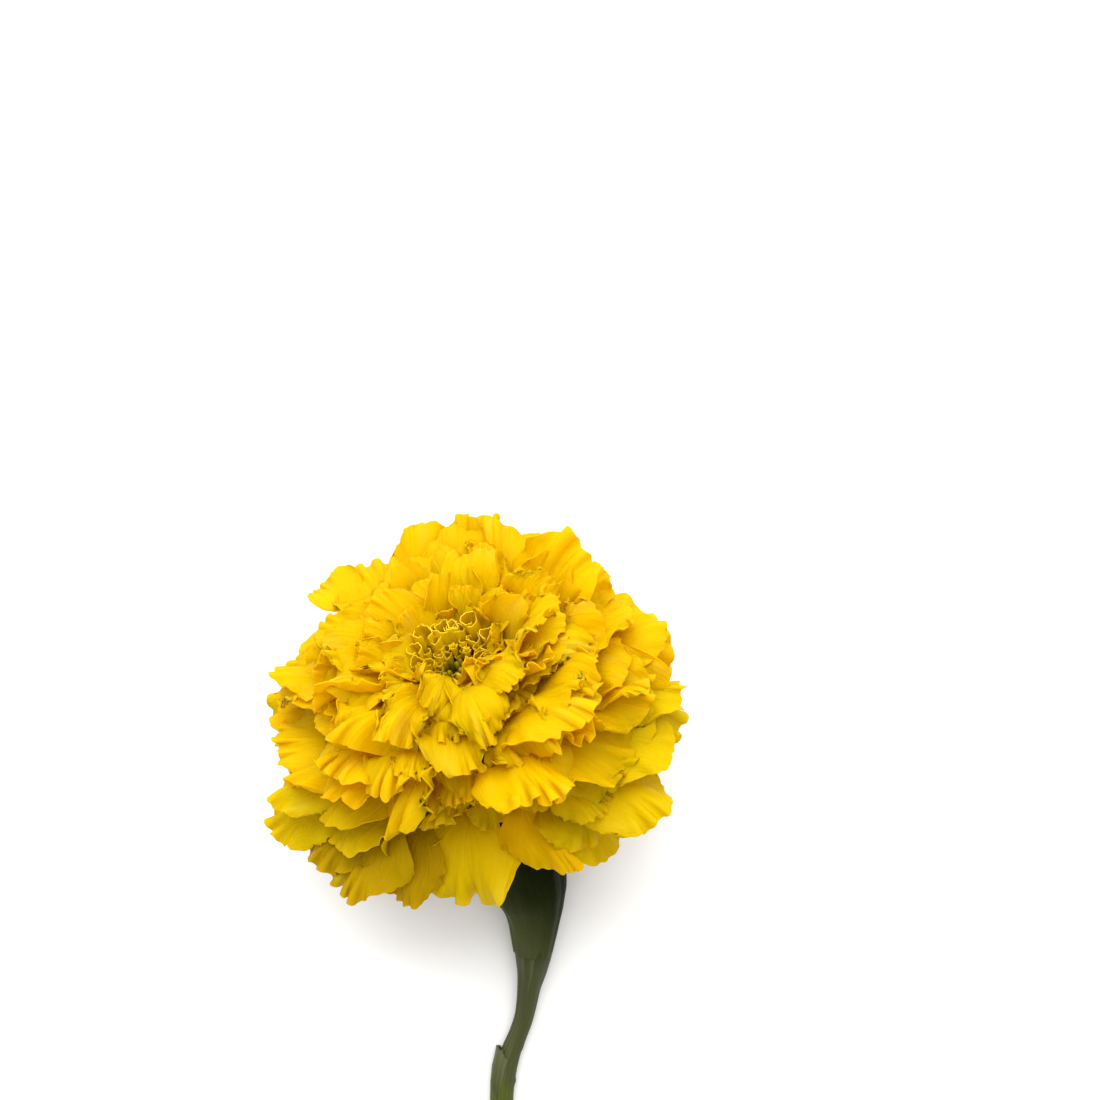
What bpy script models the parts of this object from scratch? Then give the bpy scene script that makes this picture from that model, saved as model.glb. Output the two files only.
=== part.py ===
"""A cut double marigold lying on its side: bloom, disc florets, involucre and stem.

The stem lies along -Y on the plane z = 0 and the bloom faces up and away from it.
The petals follow one rule, tier by tier, in the bloom's own frame: a radius from the
bloom's axis, a height along it and an azimuth round it. That frame is in millimetres,
and each mesh is turned into the part's frame, in metres, as it is made.
"""

import math

import bmesh
import bpy
import numpy as np
from mathutils import Matrix, Vector

MM = 0.001
TURN = 2 * math.pi
GOLDEN_ANGLE = math.radians(137.508)
GAP = 0.3  # between neighbouring pieces, mm
SLIVER = 0.01  # edges shorter than this are taken out after a union, mm

# The bloom's frame in the part's frame
BLOOM_CENTRE = Vector((0.2, 46.5, 32.8))
BLOOM_AXIS = Vector((-0.23, 0.66, 0.71)).normalized()
BLOOM_FRONT = (Vector((0, 0, 1)) - BLOOM_AXIS * BLOOM_AXIS.z).normalized()
BLOOM_SIDE = BLOOM_FRONT.cross(BLOOM_AXIS)

# Petals: tier, count, first azimuth and the arc that the tier fills, in degrees, then each
# tip's radius, height and angle from the axis, and the petal's width
TIERS = (
    ("skirt", 6, 150, 275, 31.0, -23.0, 165, 19.5),
    ("hem", 8, 131, 285, 37.0, -17.0, 150, 21.0),
    ("underside", 8, 152, 262, 41.0, -9.0, 130, 21.5),
    ("rim", 8, 128, 272, 42.0, 0.0, 112, 21.5),
    ("brim", 8, 112, 292, 41.0, 8.0, 98, 20.0),
    ("shoulder", 8, 201, 360, 36.5, 14.0, 88, 19.0),
    ("slope", 8, 266, 360, 31.5, 18.5, 80, 17.0),
    ("crown", 7, 281, 360, 25.5, 21.0, 72, 15.0),
    ("crest", 7, 351, 360, 19.5, 22.0, 62, 12.5),
    ("collar", 6, 1, 360, 14.0, 21.0, 48, 10.5),
)
# The petals placed one by one, most of them in front, by each tip: azimuth, then as above
PLACED = (
    (127, 36.5, -24.0, 166, 19.0),
    (101, 32.0, -20.0, 162, 22.0),
    (63, 36.0, -22.0, 168, 20.0),
    (84, 21.5, -12.0, 160, 8.5),
    (44, 27.0, -9.0, 150, 9.0),
    (113, 28.5, -6.5, 140, 15.0),
    (119, 37.0, -8.0, 140, 13.0),
    (22, 39.0, -2.5, 120, 19.0),
    (140, 44.0, -4.0, 124, 19.0),
    (133, 44.0, -14.0, 140, 19.0),
    (158, 44.0, -3.0, 118, 18.0),
    (46, 38.5, -18.0, 156, 19.0),
    (31, 42.5, -17.5, 150, 19.0),
    (18, 43.5, -15.0, 142, 18.0),
    (6, 48.0, -10.0, 128, 18.0),
    (8, 45.5, -1.0, 112, 17.0),
    (342, 45.5, 1.0, 108, 18.0),
    (57, 30.0, -3.0, 135, 15.0),
    (303, 42.0, 11.0, 92, 12.0),
)
PETAL_SEED = 92
PLACED_SPREAD = 0.35  # how much of the random spread the placed petals have
AZIMUTH_SPREAD = 0.2  # as a share of the angle between a tier's petals
BACK = math.radians(258)
BACK_REACH = 0.05  # how much further the petals at the back reach, as a share
BACK_RISE = 1.5
FRONT_BEND = 40  # how much further the upper petals in front bend over, degrees
PETAL_THICKNESS = 0.72
PETAL_ROWS = 3
PETAL_COLUMNS = 3
NARROW_PETAL = 19.2  # petals narrower than this have a column less
CLAW_RADIUS = 4.5
CLAW_HEIGHT = -13.0
ROOT_DEPTH = 2.5
DISC_CLEARANCE = 7.2

# The core that the petals stand out of: radius and height down its outer side
CORE_PROFILE = (
    (6.9, 14.5), (12.0, 15.5), (20.0, 14.0), (27.0, 8.0), (29.5, 1.0),
    (24.5, -5.5), (15.5, -10.5), (8.6, -14.7),
)
CORE_SIDES = 20
WELL_RADIUS = 6.9
WELL_FLOOR = 8.0

REST_HEIGHT = 0.5 * PETAL_THICKNESS

# Disc florets: a plug in the well, and tubes that stand on it
PLUG_RADIUS = 6.4
PLUG_TOP = 12.0
FLORETS = 26
FLORET_SPREAD = 5.3
FLORET_RADIUS = 0.95
FLORET_TOP = 13.8
FLORET_RIM_TOP = 17.6

# Involucre and stem: centre line from the bloom down, as an offset from the bloom's centre
# along X and Y and a height above the ground, and the radius there
INVOLUCRE_ROUTE = (
    (3.48, -9.97, 22.07, 8.7),
    (4.85, -13.91, 17.83, 9.1),
    (6.4, -20.0, 15.9, 9.4),
    (8.0, -26.0, 13.8, 9.3),
    (9.7, -33.0, 11.7, 8.9),
    (11.1, -39.9, 9.7, 8.1),
    (11.8, -43.6, 8.4, 6.75),
    (12.0, -47.2, 7.1, 5.65),
    (11.9, -50.9, 6.0, 4.9),
    (11.8, -54.2, 5.15, 4.25),
)
STEM_ROUTE = (
    (11.8, -54.5, 5.08, 4.15),
    (11.5, -58.1, 4.3, 3.4),
    (10.9, -61.7, 3.7, 2.7),
    (10.4, -65.3, 3.2, 2.35),
    (9.7, -68.9, 2.9, 2.15),
    (8.5, -72.4, 2.7, 2.1),
    (7.2, -75.5, 2.6, 2.2),
    (5.9, -79.4, 2.5, 2.5),
    (5.2, -82.9, 2.53, 2.6),
    (4.9, -86.4, 2.53, 2.6),
    (4.6, -95.0, 2.53, 2.6),
    (4.8, -105.0, 2.48, 2.55),
    (5.4, -115.0, 2.48, 2.55),
    (6.4, -125.0, 2.53, 2.6),
    (7.4, -133.0, 2.53, 2.6),
)
RIBS = 8
RIB_DEPTH = 0.035
TOOTH_DEPTH = 2.2
STEM_RIDGES = 5
STEM_RIDGE_DEPTH = 0.03

# The stub of a bract at the stem's node
STUB_BASE = (5.6, -77.6, 3.0)
STUB_TIP = (3.2, -74.4, 3.6)
STUB_RADIUS = 1.5


def smooth(x, start, end):
    """0 below start, 1 above end, and an S-curve between them."""
    t = np.clip((x - start) / (end - start), 0, 1)
    return t * t * (3 - 2 * t)


def spine_start(across, along, end, power):
    """Starting angle of a spine that spans (across, along) and ends at the angle `end`, and its length."""
    v = (np.arange(40) + 0.5) / 40
    wanted = math.atan2(across, along)
    low, high = -2.2, 2.6
    for _ in range(26):
        start = 0.5 * (low + high)
        theta = start + (end - start) * v**power
        if math.atan2(np.sin(theta).mean(), np.cos(theta).mean()) < wanted:
            low = start
        else:
            high = start
    theta = start + (end - start) * v**power
    straight = math.hypot(np.sin(theta).mean(), np.cos(theta).mean())
    return start, math.hypot(across, along) / straight


class Petal:
    """One petal: its random draws, and the point of its middle surface at any (u, v)."""

    def __init__(self, rng, azimuth, tip_radius, tip_height, tip_angle, width, spread=1.0):
        def draw():
            return spread * rng.normal()

        self.azimuth = azimuth
        behind = math.cos(azimuth - BACK)
        tip_radius = tip_radius * (1 + BACK_REACH * behind)
        tip_height = tip_height + BACK_RISE * 0.5 * (1 + behind)
        upper = smooth(tip_height, 2, 18)
        bend = FRONT_BEND * 0.5 * (1 - behind) * smooth(135 - tip_angle, 0, 40) * smooth(tip_radius, 6, 24)
        self.end = math.radians(tip_angle + bend + 8 * draw())
        self.power = (1.6 + 2.0 * upper) * (1 + 0.12 * draw())
        across = tip_radius * (1 + 0.035 * draw()) - CLAW_RADIUS
        along = tip_height + 1.2 * draw() - CLAW_HEIGHT
        self.start, self.length = spine_start(across, along, self.end, self.power)
        self.width = width * (1 + 0.10 * draw())
        self.limb = self.width * (1.02 + 0.08 * draw())
        self.curl = math.radians(16 * draw())
        self.camber = 0.024 * draw() + 0.0001
        self.twist = math.radians(14 * draw())
        self.drift = math.radians(5 * draw())
        self.ruffle = 1 + 0.18 * draw()
        self.phase = rng.uniform(0, TURN, 12)
        self.pitch = rng.uniform(0.85, 1.15, 6)
        share = np.linspace(0, 1, 81)
        theta = self.start + (self.end - self.start) * share**self.power
        theta = theta + self.curl * smooth(share, 0.8, 1.0)
        middle = 0.5 * (theta[1:] + theta[:-1])
        step = self.length / 80
        self.share = share
        self.theta = theta
        self.radius = CLAW_RADIUS + np.append(0, np.cumsum(np.sin(middle) * step))
        self.height = CLAW_HEIGHT + np.append(0, np.cumsum(np.cos(middle) * step))

    def outline(self, u, v):
        """Half width, share of the length, and how far into the broad limb each point lies."""
        limb_start = 1 - self.limb / self.length
        into_limb = np.clip((v - limb_start) / (1 - limb_start), 0, 1)
        claw = 0.13 + 0.05 * v / max(limb_start, 0.05)
        fan = np.sqrt(np.clip(1 - 3.0 * (into_limb - 0.6) ** 2, 0.05, 1))
        half = 0.5 * self.width * (claw + (fan - 0.17) * smooth(into_limb, -0.15, 0.55))
        rounding = (0.22 * u**2 + 0.14 * np.abs(u) ** 5) * self.width / self.length
        end = 1 - rounding + 0.012 * np.sin(2.6 * self.pitch[0] * u + self.phase[0])
        end = end + 0.010 * np.sin(6.5 * self.pitch[1] * u + self.phase[1])
        share = v * (1 + (end - 1) * smooth(v, 0.2, 1.0))
        return half, share, into_limb

    def lift(self, u, half, into_limb):
        """Height of the ruffles over the petal's middle surface: folds that fan out to the edge."""
        ahead = np.maximum((into_limb - 0.25) * self.limb, 0.02 * self.limb) + 0.12 * self.limb
        fan = np.arctan2(u * half, ahead)
        edge = np.maximum(smooth(into_limb, 0.1, 1.05), np.abs(u) ** 3 * smooth(into_limb, 0.1, 0.6))
        size = self.ruffle * self.width / 18
        sway = 0.8 * np.sin(1.1 * self.pitch[4] * fan + self.phase[9])
        return 2.8 * size * edge**1.5 * np.sin(3.3 * self.pitch[3] * fan + self.phase[4] + sway)

    def points(self, u, v):
        """Points of the middle surface in the bloom's frame, with u from -1 to 1 and v from 0 to 1."""
        half, share, into_limb = self.outline(u, v)
        lift = self.lift(u, half, into_limb)
        theta = np.interp(share, self.share, self.theta)
        radius = np.interp(share, self.share, self.radius)
        height = np.interp(share, self.share, self.height)
        across = np.sin(u * half * self.camber) / self.camber
        lift = lift + (1 - np.cos(u * half * self.camber)) / self.camber
        turn = self.twist * v**1.5
        side = across * np.cos(turn) - lift * np.sin(turn)
        up = across * np.sin(turn) + lift * np.cos(turn)
        radius = radius - up * np.cos(theta)
        height = height + up * np.sin(theta)
        azimuth = self.azimuth + self.drift * v**2
        x = radius * np.cos(azimuth) - side * np.sin(azimuth)
        y = radius * np.sin(azimuth) + side * np.cos(azimuth)
        return np.stack([x, y, height], axis=-1)

    def root(self):
        """The share of the length at which the petal is well inside the core."""
        profile_r, profile_h = np.array(CORE_PROFILE).T
        for v in np.linspace(0.9, 0.1, 81):
            r, h = np.interp(v, self.share, self.radius), np.interp(v, self.share, self.height)
            around = math.atan2(h, r)
            angles = np.arctan2(profile_h, profile_r)[::-1]
            reach = np.interp(around, angles, np.hypot(profile_r, profile_h)[::-1])
            if math.hypot(r, h) < reach - ROOT_DEPTH:
                return v
        return 0.1


def all_petals():
    """Every petal with its tier's number: the placed ones, and then from the outside in."""
    rng = np.random.default_rng(PETAL_SEED)
    for number, (azimuth, *shape) in enumerate(PLACED):
        yield 0, number, Petal(rng, math.radians(azimuth), *shape, spread=PLACED_SPREAD)
    for level, (_, count, first, arc, *shape) in enumerate(TIERS):
        for number in range(count):
            azimuth = math.radians(first + arc * (number + AZIMUTH_SPREAD * rng.normal()) / count)
            yield level, number, Petal(rng, azimuth, *shape)


def to_part(points):
    """Points of the bloom's frame, in the part's frame, both in millimetres."""
    turn = np.array([BLOOM_SIDE, BLOOM_FRONT, BLOOM_AXIS])
    return points @ turn + np.array(BLOOM_CENTRE)


def keep_off_disc(points):
    """Moves points that lean over the middle of the bloom out to its edge."""
    reach = np.hypot(points[..., 0], points[..., 1])
    over = (points[..., 2] > WELL_FLOOR) & (reach < DISC_CLEARANCE)
    scale = np.where(over, DISC_CLEARANCE / np.maximum(reach, 0.1), 1.0)
    points[..., 0] *= scale
    points[..., 1] *= scale
    return points


def press(points, height):
    """Flattens what lies lower than `height` above the ground onto that height."""
    points[..., 2] = np.maximum(points[..., 2], height)
    return points


def clear_scene():
    for obj in list(bpy.data.objects):
        bpy.data.objects.remove(obj, do_unlink=True)


def collection(name):
    made = bpy.data.collections.new(name)
    bpy.context.scene.collection.children.link(made)
    return made


def material(name, colour, roughness):
    made = bpy.data.materials.new(name)
    made.use_nodes = True
    shader = made.node_tree.nodes["Principled BSDF"]
    shader.inputs["Base Color"].default_value = (*colour, 1)
    shader.inputs["Roughness"].default_value = roughness
    shader.inputs["Metallic"].default_value = 0
    return made


def add_mesh(name, bm, into, finish=None):
    mesh = bpy.data.meshes.new(name)
    bm.to_mesh(mesh)
    bm.free()
    obj = bpy.data.objects.new(name, mesh)
    into.objects.link(obj)
    if finish:
        mesh.materials.append(finish)
    return obj


def replace_with_evaluated(obj):
    """Applies an object's modifiers."""
    bpy.context.view_layer.update()
    graph = bpy.context.evaluated_depsgraph_get()
    mesh = bpy.data.meshes.new_from_object(obj.evaluated_get(graph))
    obj.modifiers.clear()
    obj.data = mesh


def islands(bm):
    """The separate closed surfaces of a mesh, each as a list of faces."""
    left = set(bm.faces)
    while left:
        island = [left.pop()]
        for face in island:
            for edge in face.edges:
                for other in edge.link_faces:
                    if other in left:
                        left.remove(other)
                        island.append(other)
        yield island


def volume(faces):
    return sum(face.normal.dot(face.calc_center_median()) * face.calc_area() for face in faces) / 3


def keep_outer_surface(obj):
    """Drops the hollows that a union sealed, and its loose scraps."""
    bm = bmesh.new()
    bm.from_mesh(obj.data)
    bmesh.ops.dissolve_degenerate(bm, dist=SLIVER * MM, edges=bm.edges[:])
    bmesh.ops.triangulate(bm, faces=bm.faces[:])
    found = sorted(islands(bm), key=volume)
    for island in found[:-1]:
        bmesh.ops.delete(bm, geom=island, context="FACES")
    bm.to_mesh(obj.data)
    bm.free()


def add_petal(petal, rest_height, into):
    """One petal's limb as a thin solid whose root is sunk in the core; finer where it lies on the ground."""
    bm = bmesh.new()
    margin = to_part(petal.points(np.linspace(-1, 1, 5), np.ones(5)))
    rows = PETAL_ROWS * (2 if margin[:, 2].min() < rest_height else 1)
    columns = PETAL_COLUMNS - (petal.width < NARROW_PETAL)
    bmesh.ops.create_grid(bm, x_segments=columns, y_segments=rows, size=1)
    root = petal.root()
    u = np.array([vert.co.x for vert in bm.verts])
    v = root + (1 - root) * (np.array([vert.co.y for vert in bm.verts]) + 1) / 2
    points = press(to_part(keep_off_disc(petal.points(u, v))), rest_height)
    for vert, place in zip(bm.verts, points):
        vert.co = Vector(place) * MM
    bmesh.ops.triangulate(bm, faces=bm.faces[:])
    obj = add_mesh("petal", bm, into)
    skin = obj.modifiers.new("thickness", "SOLIDIFY")
    skin.thickness = PETAL_THICKNESS * MM
    skin.offset = 0
    replace_with_evaluated(obj)
    for vert in obj.data.vertices:
        if vert.co.z < 0.8 * REST_HEIGHT * MM:
            vert.co.z = 0
    return obj


def join_collection(obj, others):
    """Unites an object with every object of a collection, then removes those."""
    union = obj.modifiers.new("union", "BOOLEAN")
    union.operation = "UNION"
    union.operand_type = "COLLECTION"
    union.collection = others
    union.solver = "MANIFOLD"
    replace_with_evaluated(obj)
    keep_outer_surface(obj)
    for other in list(others.objects):
        bpy.data.objects.remove(other, do_unlink=True)
    bpy.data.collections.remove(others)


def add_bloom_mesh(name, bm, into, finish=None):
    """Adds a mesh drawn in the bloom's frame."""
    for vert in bm.verts:
        vert.co = Vector(to_part(np.array(vert.co))) * MM
    return add_mesh(name, bm, into, finish)


def add_core(into, finish):
    """The crowded inner part of the bloom, a turned solid with a well for the disc."""
    bm = bmesh.new()
    profile = [(0.0, WELL_FLOOR), (WELL_RADIUS, WELL_FLOOR), *CORE_PROFILE, (0.0, CORE_PROFILE[-1][1])]
    verts = [bm.verts.new((radius, 0, height)) for radius, height in profile]
    for first, second in zip(verts, verts[1:]):
        bm.edges.new((first, second))
    bmesh.ops.spin(
        bm, geom=bm.verts[:] + bm.edges[:], axis=(0, 0, 1), cent=(0, 0, 0),
        steps=CORE_SIDES, angle=TURN,
    )
    bmesh.ops.remove_doubles(bm, verts=bm.verts[:], dist=0.001)
    bmesh.ops.recalc_face_normals(bm, faces=bm.faces[:])
    return add_bloom_mesh("petals", bm, into, finish)


def add_petals(part, finish):
    """The ray florets, joined with the core they stand out of."""
    core = add_core(part, finish)
    blades = collection("petal blades")
    for level, number, petal in all_petals():
        stacked = 0.9 * level + 0.45 * (number % 2) * (level > 0) + 0.05 * level * number - 0.9 * (level == 1)
        add_petal(petal, REST_HEIGHT + stacked, blades)
    join_collection(core, blades)
    return core


def add_disc(part, finish):
    """The disc florets: a plug with a crowd of little tubes, lower in the middle."""
    bm = bmesh.new()
    depth = PLUG_TOP - WELL_FLOOR - GAP
    bmesh.ops.create_cone(
        bm, cap_ends=True, segments=16, radius1=PLUG_RADIUS, radius2=PLUG_RADIUS, depth=depth,
    )
    bmesh.ops.translate(bm, verts=bm.verts[:], vec=(0, 0, WELL_FLOOR + GAP + 0.5 * depth))
    plug = add_bloom_mesh("disc_florets", bm, part, finish)
    tubes = collection("disc tubes")
    for number in range(FLORETS):
        out = math.sqrt((number + 0.5) / FLORETS)
        azimuth = number * GOLDEN_ANGLE
        top = FLORET_TOP + (FLORET_RIM_TOP - FLORET_TOP) * out**2
        length = top - PLUG_TOP + 1.0
        bm = bmesh.new()
        bmesh.ops.create_cone(
            bm, cap_ends=True, segments=5, radius1=0.6 * FLORET_RADIUS, radius2=FLORET_RADIUS,
            depth=length,
        )
        place = Vector((math.cos(azimuth), math.sin(azimuth), 0)) * out * FLORET_SPREAD
        place.z = top - 0.5 * length
        bmesh.ops.rotate(bm, verts=bm.verts[:], matrix=Matrix.Rotation(azimuth, 3, "Z"))
        bmesh.ops.translate(bm, verts=bm.verts[:], vec=place)
        add_bloom_mesh("floret", bm, tubes)
    join_collection(plug, tubes)
    return plug


def ribbed_profile(name, count, depth, points):
    """A closed outline of radius 1 mm with raised ribs, for a tube's section."""
    curve = bpy.data.curves.new(name, "CURVE")
    curve.dimensions = "2D"
    spline = curve.splines.new("POLY")
    spline.points.add(points - 1)
    for index, point in enumerate(spline.points):
        around = TURN * index / points
        radius = (1 - depth + depth * math.cos(count * around)) * MM
        point.co = (radius * math.cos(around), radius * math.sin(around), 0, 1)
    spline.use_cyclic_u = True
    obj = bpy.data.objects.new(name, curve)
    obj.hide_render = True
    return obj


def smooth_route(route, steps):
    """Stations of a route and points between them on a smooth curve through them all."""
    stations = np.array(route)
    padded = np.vstack([2 * stations[0] - stations[1], stations, 2 * stations[-1] - stations[-2]])
    for index in range(1, len(padded) - 2):
        before, here, there, after = padded[index - 1:index + 3]
        for t in np.arange(steps) / steps:
            bend = (2 * before - 5 * here + 4 * there - after) * t**2
            bend = bend + (3 * here - before - 3 * there + after) * t**3
            yield here + 0.5 * ((there - before) * t + bend)
    yield stations[-1]


def add_stalk(name, route, steps, profile, part, finish):
    """A ribbed tube of changing radius along a route, as a mesh."""
    curve = bpy.data.curves.new(name, "CURVE")
    curve.dimensions = "3D"
    curve.bevel_mode = "OBJECT"
    curve.bevel_object = profile
    curve.use_fill_caps = True
    spline = curve.splines.new("POLY")
    places = list(smooth_route(route, steps))
    spline.points.add(len(places) - 1)
    for point, (x, y, z, radius) in zip(spline.points, places):
        place = Vector((BLOOM_CENTRE.x + x, BLOOM_CENTRE.y + y, z)) * MM
        point.co = (*place, 1)
        point.radius = radius
    guide = bpy.data.objects.new(name + " guide", curve)
    part.objects.link(guide)
    bpy.context.view_layer.update()
    graph = bpy.context.evaluated_depsgraph_get()
    mesh = bpy.data.meshes.new_from_object(guide.evaluated_get(graph))
    bpy.data.objects.remove(guide, do_unlink=True)
    bm = bmesh.new()
    bm.from_mesh(mesh)
    bmesh.ops.remove_doubles(bm, verts=bm.verts[:], dist=0.001 * MM)
    bmesh.ops.recalc_face_normals(bm, faces=bm.faces[:])
    bpy.data.meshes.remove(mesh)
    obj = add_mesh(name, bm, part, finish)
    obj.data.shade_smooth()
    obj.data.set_sharp_from_angle(angle=math.radians(40))
    return obj


def add_involucre(part, finish):
    """The cup of fused bracts, with a tooth at the top of each."""
    profile = ribbed_profile("involucre section", RIBS, RIB_DEPTH, 4 * RIBS)
    cup = add_stalk("involucre", INVOLUCRE_ROUTE, 1, profile, part, finish)
    mouth = BLOOM_CENTRE + Vector(INVOLUCRE_ROUTE[0][:2] + (INVOLUCRE_ROUTE[0][2] - BLOOM_CENTRE.z,))
    for vert in cup.data.vertices:
        out = vert.co / MM - mouth
        if abs(out.dot(BLOOM_AXIS)) < 0.5 * GAP:
            around = math.atan2(out.dot(BLOOM_FRONT), out.dot(BLOOM_SIDE))
            notch = 0.5 * TOOTH_DEPTH * (1 + math.cos(RIBS * around))
            vert.co -= BLOOM_AXIS * notch * MM
    return cup


def add_stem(part, finish):
    """The stalk below the cup and the stem, with the stub of a bract at its node."""
    profile = ribbed_profile("stem section", STEM_RIDGES, STEM_RIDGE_DEPTH, 15)
    stem = add_stalk("stem", STEM_ROUTE, 2, profile, part, finish)
    stubs = collection("bract stub")
    foot = Vector(STUB_BASE) + Vector((BLOOM_CENTRE.x, BLOOM_CENTRE.y, 0))
    tip = Vector(STUB_TIP) + Vector((BLOOM_CENTRE.x, BLOOM_CENTRE.y, 0))
    bm = bmesh.new()
    bmesh.ops.create_cone(
        bm, cap_ends=True, segments=8, radius1=STUB_RADIUS * MM, radius2=0.2 * MM,
        depth=(tip - foot).length * MM,
    )
    bmesh.ops.rotate(bm, verts=bm.verts[:], matrix=(tip - foot).to_track_quat("Z", "Y").to_matrix())
    bmesh.ops.translate(bm, verts=bm.verts[:], vec=0.5 * (foot + tip) * MM)
    add_mesh("stub", bm, stubs)
    join_collection(stem, stubs)
    return stem


clear_scene()
marigold = collection("marigold")
add_petals(marigold, material("petal yellow", (0.86, 0.55, 0.006), 0.5))
add_disc(marigold, material("disc yellow green", (0.45, 0.27, 0.005), 0.6))
add_involucre(marigold, material("involucre green", (0.014, 0.021, 0.005), 0.45))
add_stem(marigold, material("stem green", (0.09, 0.11, 0.035), 0.5))
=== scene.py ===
"""The looks of a cut double marigold, dressed round the frame of its solids.

The petals follow the same rule as the solids, petal by petal, with the pleats, frills and
notched margins that the solids leave out, and more petals stand between them. Sizes are in
millimetres, in the bloom's own frame (a radius from its axis, a height along it and an
azimuth round it) or, for the stalk, from the bloom's centre and the ground. Each mesh is
turned into the part's frame, in metres, as it is made.
"""

import math

import bpy
import numpy as np
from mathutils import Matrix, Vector


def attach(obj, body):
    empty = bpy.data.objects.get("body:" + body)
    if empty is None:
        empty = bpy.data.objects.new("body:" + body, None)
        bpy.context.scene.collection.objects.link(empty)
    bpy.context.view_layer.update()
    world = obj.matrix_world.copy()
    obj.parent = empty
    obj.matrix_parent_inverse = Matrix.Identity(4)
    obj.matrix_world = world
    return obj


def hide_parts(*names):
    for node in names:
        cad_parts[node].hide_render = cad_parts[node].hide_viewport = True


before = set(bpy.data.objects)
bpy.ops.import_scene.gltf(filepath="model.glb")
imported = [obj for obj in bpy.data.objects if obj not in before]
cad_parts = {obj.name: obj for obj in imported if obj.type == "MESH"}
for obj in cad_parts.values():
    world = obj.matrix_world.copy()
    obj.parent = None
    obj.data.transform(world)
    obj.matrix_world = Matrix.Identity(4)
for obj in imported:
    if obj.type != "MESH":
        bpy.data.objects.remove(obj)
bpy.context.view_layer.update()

MM = 0.001
TURN = 2 * math.pi
GOLDEN_ANGLE = math.radians(137.508)

# The bloom's frame in the part's frame
BLOOM_CENTRE = Vector((0.2, 46.5, 32.8))
BLOOM_AXIS = Vector((-0.23, 0.66, 0.71)).normalized()
BLOOM_FRONT = (Vector((0, 0, 1)) - BLOOM_AXIS * BLOOM_AXIS.z).normalized()
BLOOM_SIDE = BLOOM_FRONT.cross(BLOOM_AXIS)

# Petals that the solids have too: tier, count, first azimuth and the arc that the tier fills,
# in degrees, each tip's radius, height and angle from the axis, the petal's width, and how
# strongly its margin is crinkled
TIERS = (
    ("skirt", 6, 150, 275, 31.0, -23.0, 165, 19.5, 0.6),
    ("hem", 8, 131, 285, 37.0, -17.0, 150, 21.0, 0.7),
    ("underside", 8, 152, 262, 41.0, -9.0, 130, 21.5, 0.8),
    ("rim", 8, 128, 272, 42.0, 0.0, 112, 21.5, 1.0),
    ("brim", 8, 112, 292, 41.0, 8.0, 98, 20.0, 1.0),
    ("shoulder", 8, 201, 360, 36.5, 14.0, 88, 19.0, 1.0),
    ("slope", 8, 266, 360, 31.5, 18.5, 80, 17.0, 1.0),
    ("crown", 7, 281, 360, 25.5, 21.0, 72, 15.0, 1.0),
    ("crest", 7, 351, 360, 19.5, 22.0, 62, 12.5, 1.0),
    ("collar", 6, 1, 360, 14.0, 21.0, 48, 10.5, 1.0),
)
# The petals placed one by one, most of them in front: the piece that each is in, the azimuth of
# its tip, then as above. Those in the shade of the others get a deeper amber: painted shade.
PLACED = (
    ("skirt", 121, 35.0, -23.5, 165, 19.5, 0.9),
    ("rim", 98, 34.2, -17.5, 158, 17.0, 1.2),
    ("skirt", 66, 36.0, -22.0, 166, 21.5, 0.8),
    ("skirt", 86, 23.5, -12.0, 158, 11.5, 1.0),
    ("skirt", 44, 27.0, -9.0, 150, 9.0, 0.4),
    ("skirt", 113, 28.5, -6.5, 140, 15.0, 1.1),
    ("skirt", 119, 37.0, -8.0, 140, 13.0, 1.0),
    ("skirt", 22, 39.0, -2.5, 120, 19.0, 0.35),
    ("skirt", 140, 44.0, -4.0, 124, 19.0, 0.7),
    ("skirt", 133, 44.0, -14.0, 140, 19.0, 0.6),
    ("skirt", 158, 44.0, -3.0, 118, 18.0, 0.9),
    # These three take the darker petal colour, painted shade for the shade of the petals above them
    ("shade", 41, 37.0, -22.5, 164, 18.0, 0.9),
    ("shade", 31, 42.5, -17.5, 150, 19.0, 0.8),
    ("shade", 18, 43.5, -15.0, 142, 18.0, 0.9),
    ("skirt", 6, 48.0, -10.0, 128, 18.0, 1.0),
    ("skirt", 8, 45.5, -1.0, 112, 17.0, 1.1),
    ("skirt", 342, 45.5, 1.0, 108, 18.0, 1.1),
    ("skirt", 57, 30.0, -3.0, 135, 15.0, 1.1),
    ("skirt", 300, 46.5, 9.0, 92, 12.5, 0.9),
)
# The petals between those, shorter and narrower: tier, count, tip radius, height and angle,
# width, crinkle
FILL_TIERS = (
    ("skirt", 3, 30.0, -21.0, 158, 17.0, 0.6),
    ("hem", 6, 35.0, -14.0, 142, 18.5, 0.7),
    ("underside", 7, 38.0, -6.0, 122, 18.5, 0.9),
    ("rim", 9, 39.5, 3.0, 106, 18.0, 1.1),
    ("brim", 12, 38.0, 11.0, 94, 16.5, 1.2),
    ("shoulder", 13, 33.5, 16.5, 84, 15.5, 1.2),
    ("slope", 14, 28.5, 20.0, 76, 14.0, 1.2),
    ("crown", 14, 23.0, 21.8, 67, 12.0, 1.2),
    ("crest", 14, 18.0, 22.0, 56, 10.5, 1.1),
    ("collar", 13, 14.5, 20.8, 44, 8.0, 1.0),
    ("collar", 12, 11.8, 19.6, 32, 6.0, 0.9),
)
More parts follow.
